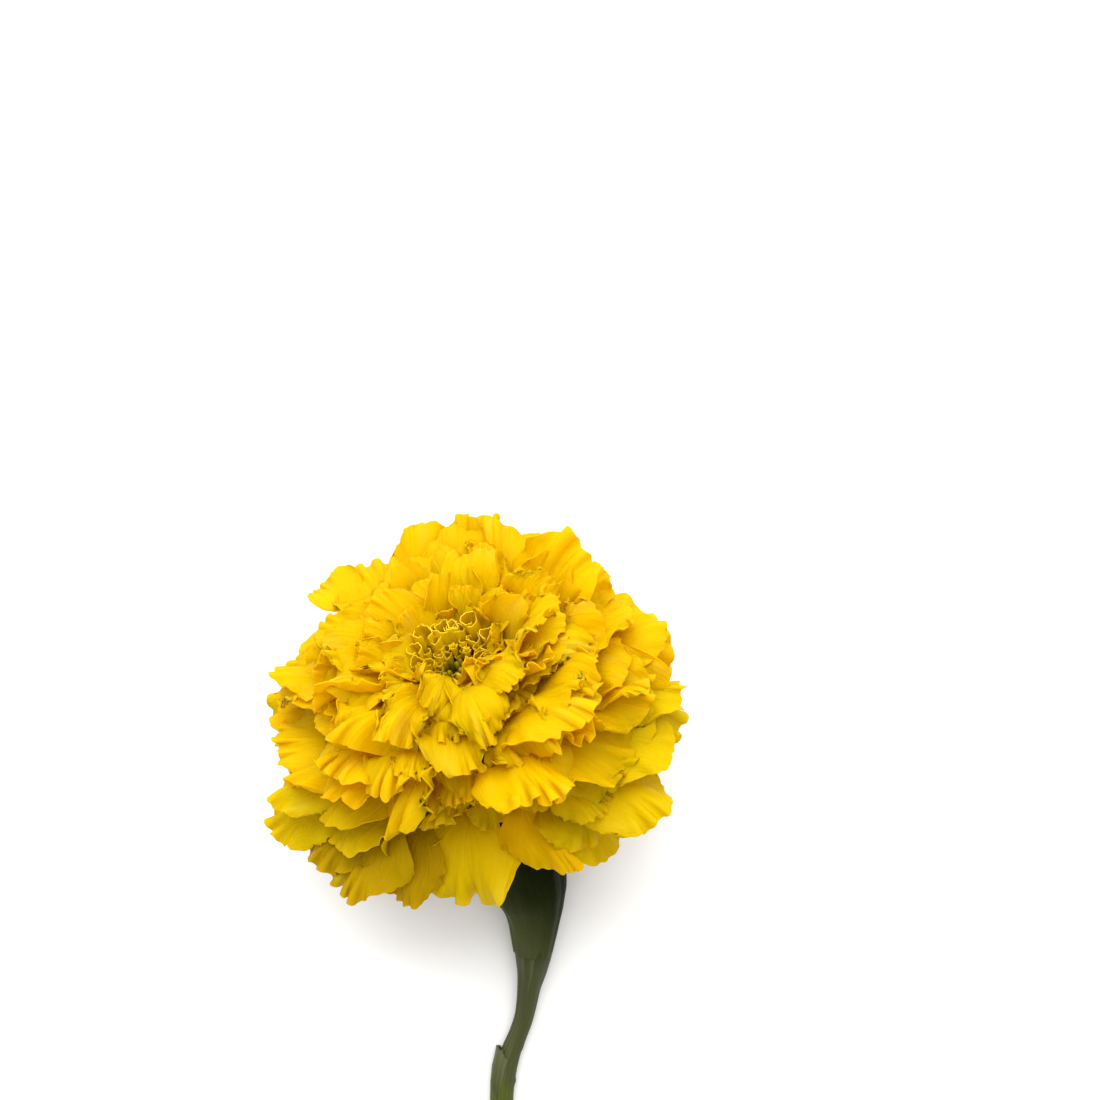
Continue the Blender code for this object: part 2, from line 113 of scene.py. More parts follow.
# The fill petals placed one by one, over the front of the core: azimuth of the tip, then as above
FRONT_FILL = (
    (64, 30.5, 1.0, 126, 15.0, 1.1),
    (72, 29.0, 3.5, 120, 11.0, 1.2),
    (54, 31.0, 1.0, 126, 14.0, 1.1),
    (82, 30.5, 7.0, 112, 12.0, 1.2),
)
# The lower, outer tiers, whose petals take a darker, more amber colour: painted shade
OUTER_TIERS = ("skirt", "hem", "underside")
FRONT_GAP = (48, 120)  # azimuths between which the lower fill tiers leave the front fans free, degrees
BACK = math.radians(258)
BACK_REACH = 0.05  # how much further the petals at the back reach, as a share
BACK_RISE = 1.5
FRONT_BEND = 40  # how much further the upper petals in front bend over, degrees
BACK_CALM = 0.55  # how much less crinkled the petals at the back are, as a share
FRONT_RUFFLE = 0.2  # how much more ruffled the petals in front are, as a share
HANGING_CALM = 0.55  # how much shallower the broad folds of the petals that hang down are, as a share
CLAW_RADIUS = 4.5
CLAW_HEIGHT = -13.0
CLAW_WIDTH = 0.13  # as a share of the petal's
CLAW_FLARE = 0.05
LIMB_LENGTH = 1.02  # of the broad part, as a share of the petal's width

# How much the petals differ: standard deviations, of angles in degrees and of sizes as shares
PETAL_SEED = 92
AZIMUTH_SPREAD = 0.2  # as a share of the angle between a tier's petals
TIP_ANGLE_SPREAD = 8
BEND_SPREAD = 0.12
REACH_SPREAD = 0.035
RISE_SPREAD = 1.2  # of the tip's height, in millimetres
WIDTH_SPREAD = 0.10
LIMB_SPREAD = 0.08
CURL_SPREAD = 16
TWIST_SPREAD = 14
DRIFT_SPREAD = 5
RUFFLE_SPREAD = 0.18
PETAL_BOW = 0.024  # of the curvature across a petal, per millimetre
PLACED_SPREAD = 0.35  # how much of these spreads the placed petals have
EXTRA_SEED = 23
FILL_SPREAD = 1.6  # and how much the fill petals have
FILL_BOW = 0.04
FILL_AZIMUTH_SPREAD = 0.35
FILL_REACH = (0.86, 1.04)  # tip radius, as a share of the tier's
FILL_RISE = -0.6  # of the tip, on average
FILL_RISE_SPREAD = 2.0
FILL_RISE_LIMIT = 1.0
FILL_TILT_SPREAD = 12
GAP_TOP = 5.0  # the fill tiers with tips lower than this leave the front gap free

# A petal's ruffles, from broad folds to fine crimps: waves per radian of its fan, and height at its
# margin. The heights are those of a petal RUFFLE_WIDTH wide.
FOLD_WAVES = 3.3
FOLD_HEIGHT = 2.8
PLEAT_WAVES = 9.0
PLEAT_HEIGHT = 1.9
FRILL_WAVES = 30
FRILL_HEIGHT = 1.35
FRILL_SLIDE = 0.45  # how far a frill leans over to the side
CRIMP_WAVES = 48
CRIMP_HEIGHT = 0.5
RUFFLE_WIDTH = 18

# The petals' spines: steps along one, and the search for the angle that it starts at, in radians
SPINE_STEPS = 80
SEARCH_STEPS = 40
SEARCH_ANGLES = (-2.2, 2.6)
SEARCH_ROUNDS = 26

# The petals' meshes
PETAL_THICKNESS = 0.22
PETAL_GRID = (22, 54)  # rows and columns
FILL_GRID = (16, 40)
PLAIN_CRINKLE = 0.42  # petals less crinkled than this do with the coarser grid
PETAL_FOOT = 0.12  # share of the length at which the mesh starts, inside the core
FILL_FOOT = 0.3
ROW_CROWDING = 0.6  # towards the margin
DISC_CLEARANCE = 7.2  # radius that the petals leave free above the well's floor, for the disc
WELL_FLOOR = 8.0
LOWEST = 0.25  # how close to the ground a petal's middle surface comes
LOWEST_BEND = 1.6  # the height under which it bends to lie along the ground
LAYER_RISE = 0.07  # how much higher the next petal lies there, so that neighbours don't share a plane
LAYERS = 5

# The core that the petals stand out of: radius and height, from the well in its middle outwards
CORE_PROFILE = (
    (0.0, 8.2), (4.0, 8.2), (6.6, 8.2), (6.9, 9.0), (7.1, 11.5), (7.6, 13.6), (9.5, 14.4),
    (12.0, 14.6), (16.0, 14.3), (19.5, 13.2), (23.0, 10.6), (26.0, 7.4), (27.6, 3.6), (27.6, 0.8),
    (26.0, -2.4), (22.8, -5.2), (18.5, -7.8), (14.5, -10.2), (11.2, -12.4), (8.3, -14.4), (0.0, -14.4),
)
CORE_COLUMNS = 384
CORE_CLAWS = 64
CLAW_DEPTH = 1.5
CORE_FRONT = math.radians(76)
CORE_FRONT_DENT = 0.24  # how much the core draws in behind the gap over the front fans, as a share

# Disc: open tubes with five lobes, closed buds in the middle, and rolled florets round them
DISC_SEED = 41
TUBES = 25  # the buds among them
BUDS = 11
TUBE_SPREAD = 4.3
TUBE_LOBES = 5
TUBE_COLUMNS = 20
TUBE_RADIUS = 0.82
TUBE_TIP = 13.0  # height of the ones in the middle
BUD_RADIUS = 0.66
BUD_TIP = 13.2
RADIUS_SPREAD = 0.1
DISC_FLOOR = 9.0
PLUG_FOOT = 8.4
PLUG_TIP = 10.6
PLUG_LOBES = 11
PLUG_COLUMNS = 66
# The turned forms: share of the way from foot to tip, radius, depth of the lobes as a share, and
# tone. The radii of buds and tubes are shares of the floret's. A tube's rings turn down inside its mouth.
PLUG_RINGS = ((0.0, 6.2, 0.0, 0.0), (0.75, 6.4, 0.02, 0.1), (0.95, 5.9, 0.03, 0.1), (1.0, 4.8, 0.03, 0.15))
BUD_RINGS = (
    (0.0, 0.6, 0.0, 0.0), (0.3, 0.75, 0.02, 0.2), (0.52, 0.95, 0.08, 0.4), (0.7, 1.0, 0.14, 0.6),
    (0.85, 0.82, 0.2, 0.8), (0.95, 0.5, 0.26, 0.95), (1.0, 0.16, 0.2, 1.0),
)
TUBE_RINGS = (
    (0.0, 0.45, 0.0, 0.0), (0.5, 0.5, 0.0, 0.35), (0.72, 0.72, 0.03, 0.6), (0.86, 0.86, 0.08, 0.8),
    (0.95, 1.0, 0.16, 0.93), (1.0, 1.12, 0.24, 1.0), (0.985, 1.0, 0.22, 0.98), (0.93, 0.82, 0.14, 0.8),
    (0.84, 0.68, 0.06, 0.45), (0.74, 0.45, 0.0, 0.15), (0.73, 0.1, 0.0, 0.05),
)
# The inner rings' lower tone is painted shade, deep in the well of the disc
QUILL_RINGS = (  # count, first azimuth, distance from the axis, mouth radius and height, lean, tone
    (13, 10, 3.8, 0.75, 13.9, 0.2, 0.6),
    (14, 0, 5.0, 1.0, 15.2, 0.5, 0.85),
    (13, 14, 6.5, 1.45, 17.2, 0.8, 1.0),
    (11, 5, 8.0, 1.75, 18.8, 1.2, 1.0),
)
QUILL_GRID = (10, 28)
QUILL_CROWDING = 0.4  # of the rows, towards the mouth
QUILL_THICKNESS = 0.16
OPEN_FRONT = 6.0  # the quill rings wider than this stay open in front, where the petals close in

# Involucre and stem: centre line from the bloom down, as an offset from the bloom's centre
# along X and Y and a height above the ground, and the radius there
INVOLUCRE_ROUTE = (
    (3.48, -9.97, 22.07, 8.7),
    (4.85, -13.91, 17.83, 9.1),
    (6.4, -20.0, 15.9, 9.4),
    (8.0, -26.0, 13.8, 9.3),
    (9.7, -33.0, 11.7, 8.9),
    (11.1, -39.9, 9.7, 8.1),
    (11.8, -43.6, 8.4, 6.75),
    (12.0, -47.2, 7.1, 5.65),
    (11.9, -50.9, 6.0, 4.9),
    (11.8, -54.2, 5.15, 4.25),
)
STEM_ROUTE = (
    (11.8, -53.0, 5.4, 4.3),
    (11.8, -54.5, 5.08, 4.15),
    (11.5, -58.1, 4.3, 3.4),
    (10.9, -61.7, 3.7, 2.7),
    (10.4, -65.3, 3.2, 2.35),
    (9.7, -68.9, 2.9, 2.15),
    (8.5, -72.4, 2.7, 2.1),
    (7.2, -75.5, 2.6, 2.2),
    (5.9, -79.4, 2.5, 2.5),
    (5.2, -82.9, 2.53, 2.6),
    (4.9, -86.4, 2.53, 2.6),
    (4.6, -95.0, 2.53, 2.6),
    (4.8, -105.0, 2.48, 2.55),
    (5.4, -115.0, 2.48, 2.55),
    (6.4, -125.0, 2.53, 2.6),
    (7.4, -133.0, 2.53, 2.6),
)
RIBS = 8
RIB_DEPTH = 0.035
RIB_GROOVES = 0.006
TOOTH_DEPTH = 2.2
INVOLUCRE_STEPS = 6  # rows to a stretch of the route
INVOLUCRE_COLUMNS = 96
STEM_RIDGES = 5
STEM_RIDGE_DEPTH = 0.03
STEM_GROOVES = 0.008
STEM_STEPS = 8
STEM_COLUMNS = 60
STEM_NODES = ((-74.6, 0.9, 0.06), (-82.3, 0.8, 0.09))  # place along Y, reach, and swelling as a share

# The bract's stub, from its foot to its torn top along Y, as an offset from the bloom's centre
STUB_FOOT = -86.5
STUB_TOP = -74.8
STUB_ARC = (92, 262)  # degrees round the stem
STUB_HALF_ARC = 1.48  # radians
STUB_GRID = (24, 40)
STUB_STAND = 1.25
STUB_THICKNESS = 0.45

# The cut across the stem: radius as a share of the stem's, height out of it, and place from the
# pith's middle to its edge
CUT_RINGS = (
    (0.05, 0.1, 0.0), (0.35, 0.07, 0.35), (0.62, 0.09, 0.62), (0.8, 0.14, 0.8), (0.88, 0.22, 0.88),
    (0.94, 0.24, 1.0), (0.97, 0.12, 1.0), (0.97, -0.3, 1.0),
)

# Floor, light and camera, in metres and watts
FLOOR_REACH = 2
LIGHTS = (  # name, place, width, power
    ("key", (-0.12, 1.0, 0.9), 1.5, 28),
    ("fill", (0.1, 0.35, 1.2), 0.9, 5),
)
LIT_SPOT = Vector((0, 0.04, 0.03))
SKY_STRENGTH = 0.74
CAMERA_PLACE = (0.0157, 0.0796, 0.5694)
CAMERA_LENS = 85
SENSOR_WIDTH = 36


def smooth(x, start, end):
    """0 below start, 1 above end, and an S-curve between them."""
    t = np.clip((x - start) / (end - start), 0, 1)
    return t * t * (3 - 2 * t)


def crowded(count, crowding):
    """Shares from 0 to 1 at the ends of `count` steps that get shorter towards 1."""
    t = np.linspace(0, 1, count + 1)
    return (1 + crowding) * t - crowding * t * t


def ring(columns):
    """Angles round a ring, one a column."""
    return TURN * np.arange(columns)[None, :] / columns


def turned(outward, sideways, height, azimuth):
    """Points in the bloom's frame, from distances outwards and sideways at an azimuth."""
    x = outward * np.cos(azimuth) - sideways * np.sin(azimuth)
    y = outward * np.sin(azimuth) + sideways * np.cos(azimuth)
    return np.stack([x, y, height], axis=-1)


def spine_start(across, along, end, power):
    """Starting angle of a spine that spans (across, along) and ends at the angle `end`, and its length."""
    v = (np.arange(SEARCH_STEPS) + 0.5) / SEARCH_STEPS
    wanted = math.atan2(across, along)
    low, high = SEARCH_ANGLES
    for _ in range(SEARCH_ROUNDS):
        start = 0.5 * (low + high)
        theta = start + (end - start) * v**power
        if math.atan2(np.sin(theta).mean(), np.cos(theta).mean()) < wanted:
            low = start
        else:
            high = start
    theta = start + (end - start) * v**power
    straight = math.hypot(np.sin(theta).mean(), np.cos(theta).mean())
    return start, math.hypot(across, along) / straight


class Petal:
    """One petal: its random draws, and the point of its middle surface at any (u, v)."""

    def __init__(
        self, rng, azimuth, tip_radius, tip_height, tip_angle, width, crinkle, spread=1.0, bow=PETAL_BOW,
    ):
        def draw():
            return spread * rng.normal()

        self.azimuth = azimuth
        behind = math.cos(azimuth - BACK)  # from 1 at the back to -1 in front
        tip_radius = tip_radius * (1 + BACK_REACH * behind)
        tip_height = tip_height + BACK_RISE * 0.5 * (1 + behind)
        upper = smooth(tip_height, 2, 18)
        bend = FRONT_BEND * 0.5 * (1 - behind) * smooth(135 - tip_angle, 0, 40) * smooth(tip_radius, 6, 24)
        self.end = math.radians(tip_angle + bend + TIP_ANGLE_SPREAD * draw())
        self.power = (1.6 + 2.0 * upper) * (1 + BEND_SPREAD * draw())
        across = tip_radius * (1 + REACH_SPREAD * draw()) - CLAW_RADIUS
        along = tip_height + RISE_SPREAD * draw() - CLAW_HEIGHT
        self.start, self.length = spine_start(across, along, self.end, self.power)
        self.width = width * (1 + WIDTH_SPREAD * draw())
        self.limb = self.width * (LIMB_LENGTH + LIMB_SPREAD * draw())
        self.curl = math.radians(CURL_SPREAD * draw())
        self.camber = bow * draw() + 0.0001
        self.twist = math.radians(TWIST_SPREAD * draw())
        self.drift = math.radians(DRIFT_SPREAD * draw())
        self.ruffle = (1 + RUFFLE_SPREAD * draw()) * (1 + FRONT_RUFFLE * spread * smooth(-behind, 0, 1))
        self.folding = 1 - HANGING_CALM * smooth(tip_angle, 150, 165)
        self.phase = rng.uniform(0, TURN, 12)
        self.pitch = rng.uniform(0.85, 1.15, 6)
        self.crinkle = crinkle * (1 - BACK_CALM * 0.5 * (1 + behind))
        share = np.linspace(0, 1, SPINE_STEPS + 1)
        theta = self.start + (self.end - self.start) * share**self.power
        theta = theta + self.curl * smooth(share, 0.8, 1.0)
        middle = 0.5 * (theta[1:] + theta[:-1])
        step = self.length / SPINE_STEPS
        self.share = share
        self.theta = theta
        self.radius = CLAW_RADIUS + np.append(0, np.cumsum(np.sin(middle) * step))
        self.height = CLAW_HEIGHT + np.append(0, np.cumsum(np.cos(middle) * step))

    def outline(self, u, v):
        """Half width, share of the length, and how far into the broad limb each point lies."""
        limb_start = 1 - self.limb / self.length
        into_limb = np.clip((v - limb_start) / (1 - limb_start), 0, 1)
        claw = CLAW_WIDTH + CLAW_FLARE * v / max(limb_start, 0.05)
        fan = np.sqrt(np.clip(1 - 2.3 * (into_limb - 0.6) ** 2, 0.05, 1))
        half = 0.5 * self.width * (claw + (fan - 0.17) * smooth(into_limb, -0.15, 0.55))
        rounding = (0.19 * u**2 + 0.08 * np.abs(u) ** 5) * self.width / self.length
        end = 1 - rounding + 0.012 * np.sin(2.6 * self.pitch[0] * u + self.phase[0])
        end = end + 0.010 * np.sin(6.5 * self.pitch[1] * u + self.phase[1])
        notch = 0.008 * np.sin(15 * self.pitch[2] * u + self.phase[2])
        notch = notch + 0.004 * np.sin(31 * self.pitch[3] * u + self.phase[3])
        share = v * (1 + (end + self.crinkle * notch - 1) * smooth(v, 0.2, 1.0))
        half = half * (1 + 0.02 * self.crinkle * into_limb * np.sin(26 * self.pitch[5] * v + self.phase[7]))
        return half, share, into_limb

    def lift(self, u, half, into_limb):
        """Height of the ruffles over the petal's middle surface, and how far they sway to the side."""
        ahead = np.maximum((into_limb - 0.25) * self.limb, 0.02 * self.limb) + 0.12 * self.limb
        fan = np.arctan2(u * half, ahead)
        edge = np.maximum(smooth(into_limb, 0.1, 1.05), np.abs(u) ** 3 * smooth(into_limb, 0.1, 0.6))
        size = self.ruffle * self.width / RUFFLE_WIDTH
        calm = 1 - 0.8 * smooth(np.abs(fan), 0.6, 1.1)
        sway = 0.8 * np.sin(1.1 * self.pitch[4] * fan + self.phase[9])
        folds = np.sin(FOLD_WAVES * self.pitch[3] * fan + self.phase[4] + sway)
        pleats = np.sin(PLEAT_WAVES * self.pitch[4] * fan + self.phase[5] + 1.5 * sway)
        pleats = pleats * (0.7 + 0.5 * np.sin(2.3 * fan + self.phase[10]))
        wave = FRILL_WAVES * self.pitch[5] * fan + self.phase[6] + 2 * sway
        frilled = calm * (0.6 + 0.5 * np.sin(5.1 * fan + self.phase[11]))
        crimps = np.sin(CRIMP_WAVES * self.pitch[0] * fan + self.phase[7] + 3 * sway)
        crimps = crimps * calm * (0.6 + 0.5 * np.sin(7.3 * fan + self.phase[8]))
        lift = FOLD_HEIGHT * self.folding * size * edge**1.5 * folds
        lift = lift + PLEAT_HEIGHT * self.crinkle * size * edge**2.4 * pleats
        lift = lift + FRILL_HEIGHT * self.crinkle * size * edge**4 * frilled * np.sin(wave)
        lift = lift + CRIMP_HEIGHT * self.crinkle * edge**8 * crimps
        slide = -FRILL_SLIDE * self.crinkle * size * edge**5 * frilled * np.sin(2 * wave)
        return lift, slide

    def points(self, u, v):
        """Points of the middle surface in the bloom's frame, with u from -1 to 1 and v from 0 to 1."""
        half, share, into_limb = self.outline(u, v)
        lift, slide = self.lift(u, half, into_limb)
        theta = np.interp(share, self.share, self.theta)
        radius = np.interp(share, self.share, self.radius)
        height = np.interp(share, self.share, self.height)
        across = np.sin(u * half * self.camber) / self.camber + slide
        lift = lift + (1 - np.cos(u * half * self.camber)) / self.camber
        turn = self.twist * v**1.5
        side = across * np.cos(turn) - lift * np.sin(turn)
        up = across * np.sin(turn) + lift * np.cos(turn)
        radius = radius - up * np.cos(theta)
        height = height + up * np.sin(theta)
        return turned(radius, side, height, self.azimuth + self.drift * v**2)


def main_petals():
    """The petals that the solids have, each with its tier: the placed ones, then from the outside in."""
    rng = np.random.default_rng(PETAL_SEED)
    for tier, azimuth, *shape in PLACED:
        yield tier, Petal(rng, math.radians(azimuth), *shape, spread=PLACED_SPREAD)
    for tier, count, first, arc, *shape in TIERS:
        for number in range(count):
            azimuth = math.radians(first + arc * (number + AZIMUTH_SPREAD * rng.normal()) / count)
            yield tier, Petal(rng, azimuth, *shape)


def fill_petals():
    """The petals between those, each with its tier."""
    rng = np.random.default_rng(EXTRA_SEED)
    gap_start, gap_end = FRONT_GAP
    for tier, count, radius, height, angle, width, crinkle in FILL_TIERS:
        first = rng.uniform(0, 360)
        for number in range(count):
            azimuth = (first + 360 * (number + FILL_AZIMUTH_SPREAD * rng.normal()) / count) % 360
            if height < GAP_TOP and gap_start < azimuth < gap_end:
                azimuth = azimuth + 180
            reach = rng.uniform(*FILL_REACH)
            rise = min(FILL_RISE_SPREAD * rng.normal() + FILL_RISE, FILL_RISE_LIMIT)
            tilt = FILL_TILT_SPREAD * rng.normal()
            yield tier, Petal(
                rng, math.radians(azimuth), radius * reach, height + rise, angle + tilt, width, crinkle,
                spread=FILL_SPREAD, bow=FILL_BOW,
            )
    for azimuth, *shape in FRONT_FILL:
        yield "rim", Petal(rng, math.radians(azimuth), *shape, spread=PLACED_SPREAD)


def to_part(points):
    """Points of the bloom's frame, in the part's frame, both in millimetres."""
    turn = np.array([BLOOM_SIDE, BLOOM_FRONT, BLOOM_AXIS])
    return points @ turn + np.array(BLOOM_CENTRE)


def keep_off_disc(points):
    """Moves points that lean over the middle of the bloom out to its edge."""
    reach = np.hypot(points[..., 0], points[..., 1])
    over = (points[..., 2] > WELL_FLOOR) & (reach < DISC_CLEARANCE)
    scale = np.where(over, DISC_CLEARANCE / np.maximum(reach, 0.1), 1.0)
    return np.concatenate([points[..., :2] * scale[..., None], points[..., 2:]], axis=-1)


def lay_on_ground(points, lowest):
    """Bends what would lie lower than the ground to lie along it."""
    z = points[..., 2]
    below = np.minimum(z - LOWEST_BEND, 0)
    soft = lowest + (LOWEST_BEND - lowest) * np.exp(below / LOWEST_BEND)
    points[..., 2] = np.where(z < LOWEST_BEND, soft, z)
    return points


def link(name, data):
    """A new object in the scene, with a mesh, light or camera as its data."""
    obj = bpy.data.objects.new(name, data)
    bpy.context.scene.collection.objects.link(obj)
    return obj


class Surface:
    """Grids of points gathered into one mesh, with the place of each point on its own petal or stalk."""

    def __init__(self):
        self.points = []
        self.places = []
        self.faces = []
        self.count = 0

    def add(self, points, places, closed=False, capped=False):
        """Adds a grid, rows by columns. A closed one joins its last column to its first, and caps fill
        its ends."""
        rows, columns = points.shape[:2]
        index = self.count + np.arange(rows * columns).reshape(rows, columns)
        here, there = (index, np.roll(index, -1, axis=1)) if closed else (index[:, :-1], index[:, 1:])
        quads = np.stack([here[:-1], there[:-1], there[1:], here[1:]], axis=-1).reshape(-1, 4)
        self.faces.extend(quads.tolist())
        if capped:
            self.faces.append(index[0, ::-1].tolist())
            self.faces.append(index[-1].tolist())
        self.points.append(points.reshape(-1, 3))
        self.places.append(np.broadcast_to(places, points.shape).reshape(-1, 3))
        self.count += rows * columns

    def build(self, name, finish, node, thickness=0.0):
        """Makes the object, in metres, as a thin solid with a crisp rim if it has a thickness."""
        mesh = bpy.data.meshes.new(name)
        mesh.from_pydata((np.concatenate(self.points) * MM).tolist(), [], self.faces)
        place = mesh.attributes.new("place", "FLOAT_VECTOR", "POINT")
        place.data.foreach_set("vector", np.concatenate(self.places).astype(np.float32).ravel())
        mesh.shade_smooth()
        edge_of_corner = np.empty(len(mesh.loops), np.int32)
        mesh.loops.foreach_get("edge_index", edge_of_corner)
        sharp = mesh.attributes.new("sharp_edge", "BOOLEAN", "EDGE")
        sharp.data.foreach_set("value", np.bincount(edge_of_corner, minlength=len(mesh.edges)) == 1)
        mesh.materials.append(finish.material)
        obj = link(name, mesh)
        if thickness:
            skin = obj.modifiers.new("thickness", "SOLIDIFY")
            skin.thickness = thickness * MM
            skin.offset = 0
        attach(obj, "root")
        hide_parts(node)
        return obj


def places_of(across, along, third):
    """The places of a grid's points: across a petal or round a stalk, along it or out from its middle,
    and the petal's number or the length along the stalk."""
    return np.stack(np.broadcast_arrays(across, along, np.float64(third)), axis=-1)


class Value:
    """One socket of a material's nodes. Arithmetic on it adds Math nodes."""

    def __init__(self, finish, socket):
        self.finish = finish
        self.socket = socket

    def math(self, operation, *terms):
        return self.finish.node("ShaderNodeMath", {"operation": operation}, dict(enumerate(terms)))

    def __add__(self, other):
        return self.math("ADD", self, other)

    def __sub__(self, other):
        return self.math("SUBTRACT", self, other)

    def __rsub__(self, other):
        return self.math("SUBTRACT", other, self)

    def __mul__(self, other):
        return self.math("MULTIPLY", self, other)

    __radd__ = __add__
    __rmul__ = __mul__


class Finish:
    """A material's nodes, all of them added by node()."""

    def __init__(self, name):
        self.material = bpy.data.materials.new(name)
        self.material.use_nodes = True
        self.tree = self.material.node_tree
        self.tree.nodes.clear()

    def node(self, kind, settings, sockets, output=0):
        """Adds a node, with its settings first and then its sockets' values or links."""
        made = self.tree.nodes.new(kind)
        for name, value in settings.items():
            if name == "stops":
                ramp = made.color_ramp
                while len(ramp.elements) < len(value):
                    ramp.elements.new(1.0)
                for element, (position, colour) in zip(ramp.elements, value):
                    element.position = position
                    element.color = colour
            else:
                setattr(made, name, value)
        for name, value in sockets.items():
            if isinstance(value, Value):
                self.tree.links.new(value.socket, made.inputs[name])
            else:
                made.inputs[name].default_value = value
        return Value(self, made.outputs[output]) if len(made.outputs) else None

    def place(self):
        """The three values that places_of() gave each point."""
        vector = self.node("ShaderNodeAttribute", {"attribute_name": "place"}, {}, "Vector")
        return [self.node("ShaderNodeSeparateXYZ", {}, {0: vector}, axis) for axis in "XYZ"]

    def noise(self, x, y, z, detail=2.0):
        """Noise with one grain to the unit."""
        vector = self.node("ShaderNodeCombineXYZ", {}, {0: x, 1: y, 2: z})
        return self.node("ShaderNodeTexNoise", {}, {"Vector": vector, "Scale": 1.0, "Detail": detail})

    def ramp(self, value, *stops):
        return self.node("ShaderNodeValToRGB", {"stops": stops}, {0: value})

    def step(self, value, start, end, high=1.0):
        sockets = {"Value": value, "From Min": start, "From Max": end, "To Max": high}
        return self.node("ShaderNodeMapRange", {"interpolation_type": "SMOOTHSTEP"}, sockets)

    def tinted(self, colour, tint, share):
        """A colour with a share of a tint over it."""
        settings = {"data_type": "RGBA"}
        return self.node("ShaderNodeMix", settings, {0: share, 6: colour, 7: tint}, 2)

    def bump(self, height, depth, strength):
        sockets = {"Height": height, "Distance": depth * MM, "Strength": strength}
        return self.node("ShaderNodeBump", {}, sockets)

    def skin(self, colour, roughness, specular, normal=None):
        sockets = {"Base Color": colour, "Roughness": roughness, "Specular IOR Level": specular}
        if normal:
            sockets["Normal"] = normal
        return self.node("ShaderNodeBsdfPrincipled", {}, sockets)

    def glow(self, colour, normal=None):
        """Light let through from behind, tinted by one colour."""
        sockets = {"Color": tuple(colour)}
        if normal:
            sockets["Normal"] = normal
        return self.node("ShaderNodeBsdfTranslucent", {}, sockets)

    def blend(self, factor, first, second):
        return self.node("ShaderNodeMixShader", {}, {0: factor, 1: first, 2: second})

    def surface(self, shader):
        self.node("ShaderNodeOutputMaterial", {}, {"Surface": shader})
        return self


def srgb(red, green, blue):
    """A colour as it looks on a screen, from 0 to 255, as the linear colour that shaders take."""
    channels = [c / 255 for c in (red, green, blue)]
    linear = [c / 12.92 if c <= 0.04045 else ((c + 0.055) / 1.055) ** 2.4 for c in channels]
    return (*linear, 1.0)


WARMTH = srgb(255, 239, 190)  # what a petal does to the light through it, beside its own colour


def warmed(colour):
    """The tint of the light that comes through a petal of this colour."""
    return [channel * warmth for channel, warmth in zip(colour, WARMTH)]


def petal_finish(name, amber, limb, margin, through):
    """Thin yellow petals: amber at the claw, which is painted shade for the depth of the bloom, lemon
    in the limb, paler at the margin, which is a painted highlight where the margins catch the light,
    with fine radial veins. `through` is the share of light that goes through them."""
    finish = Finish(name)
    across, along, number = finish.place()
    veins = finish.noise(across * 15.0, along * 1.1, number * 13.0, 3.0)
    threads = finish.noise(across * 46.0, along * 2.2, number * 5.0)
    shade = finish.noise(number * 31.7, 0.5, 0.5, 0.0)
    # Pale cream patches near the tips: partly bleached tips, partly a painted sheen highlight
    bleach_and_sheen = finish.noise(across * 1.6, along * 3.0, number * 17.3)
    pale = finish.step(bleach_and_sheen, 0.57, 0.68, 0.45) * finish.step(along, 0.78, 0.98)
    # Amber at the claw is painted shade deep in the bloom; the paler margin is a painted highlight
    colour = finish.ramp(along, (0.0, amber), (0.66, limb), (0.95, limb), (1.0, margin))
    colour = finish.tinted(colour, srgb(240, 209, 0), finish.step(shade, 0.35, 0.65, 0.35))
    colour = finish.tinted(colour, srgb(230, 194, 0), finish.step(veins, 0.42, 0.72, 0.2))
    colour = finish.tinted(colour, srgb(247, 232, 64), pale)
    colour = finish.tinted(colour, srgb(224, 187, 0), finish.step(threads, 0.5, 0.72, 0.14))
    normal = finish.bump(veins * 0.7 + threads * 0.3, 0.45, 0.8)
    # The claw's amber painted shade tints the light through the petal too
    claw = finish.glow(warmed(amber), normal)
    blade = finish.glow(warmed(limb), normal)
    glow = finish.blend(finish.step(along, 0.0, 0.66), claw, blade)
    return finish.surface(finish.blend(through, finish.skin(colour, 0.5, 0.06, normal), glow))


def painted_shade_core_finish():
    """The depth of the bloom, in painted shade: claws, with deeper amber painted shade between them."""
    finish = Finish("bloom core")
    around, out, _ = finish.place()
    streaks = finish.noise(around * 160.0, 0.5, 0.5)
    # Painted shade: dark amber for the depth of the bloom, darkest in the grooves between the claws
    colour = finish.ramp(out, (0.0, srgb(150, 98, 0)), (0.4, srgb(214, 164, 0)), (1.0, srgb(232, 190, 0)))
    colour = finish.tinted(colour, srgb(196, 150, 0), finish.step(streaks, 0.4, 0.65, 0.6))
    return finish.surface(finish.skin(colour, 0.7, 0.05))


def floret_finish():
    """Disc florets: olive at the foot and inside, yellow to the rim, which is pale."""
    finish = Finish("disc floret")
    across, along, number = finish.place()
    grain = finish.noise(across * 9.0, along * 2.0, number * 7.0)
    colour = finish.ramp(
        along, (0.0, srgb(70, 64, 6)), (0.4, srgb(116, 98, 4)), (0.62, srgb(214, 176, 2)),
        (0.97, srgb(238, 204, 4)), (1.0, srgb(247, 222, 40)),
    )
    colour = finish.tinted(colour, srgb(190, 150, 2), finish.step(grain, 0.4, 0.7, 0.25))
    skin = finish.skin(colour, 0.5, 0.15, finish.bump(grain, 0.15, 0.5))
    foot = finish.glow(srgb(94, 80, 4))
    mouth = finish.glow(srgb(224, 188, 3))
    glow = finish.blend(finish.step(along, 0.3, 0.7), foot, mouth)
    return finish.surface(finish.blend(0.25, skin, glow))


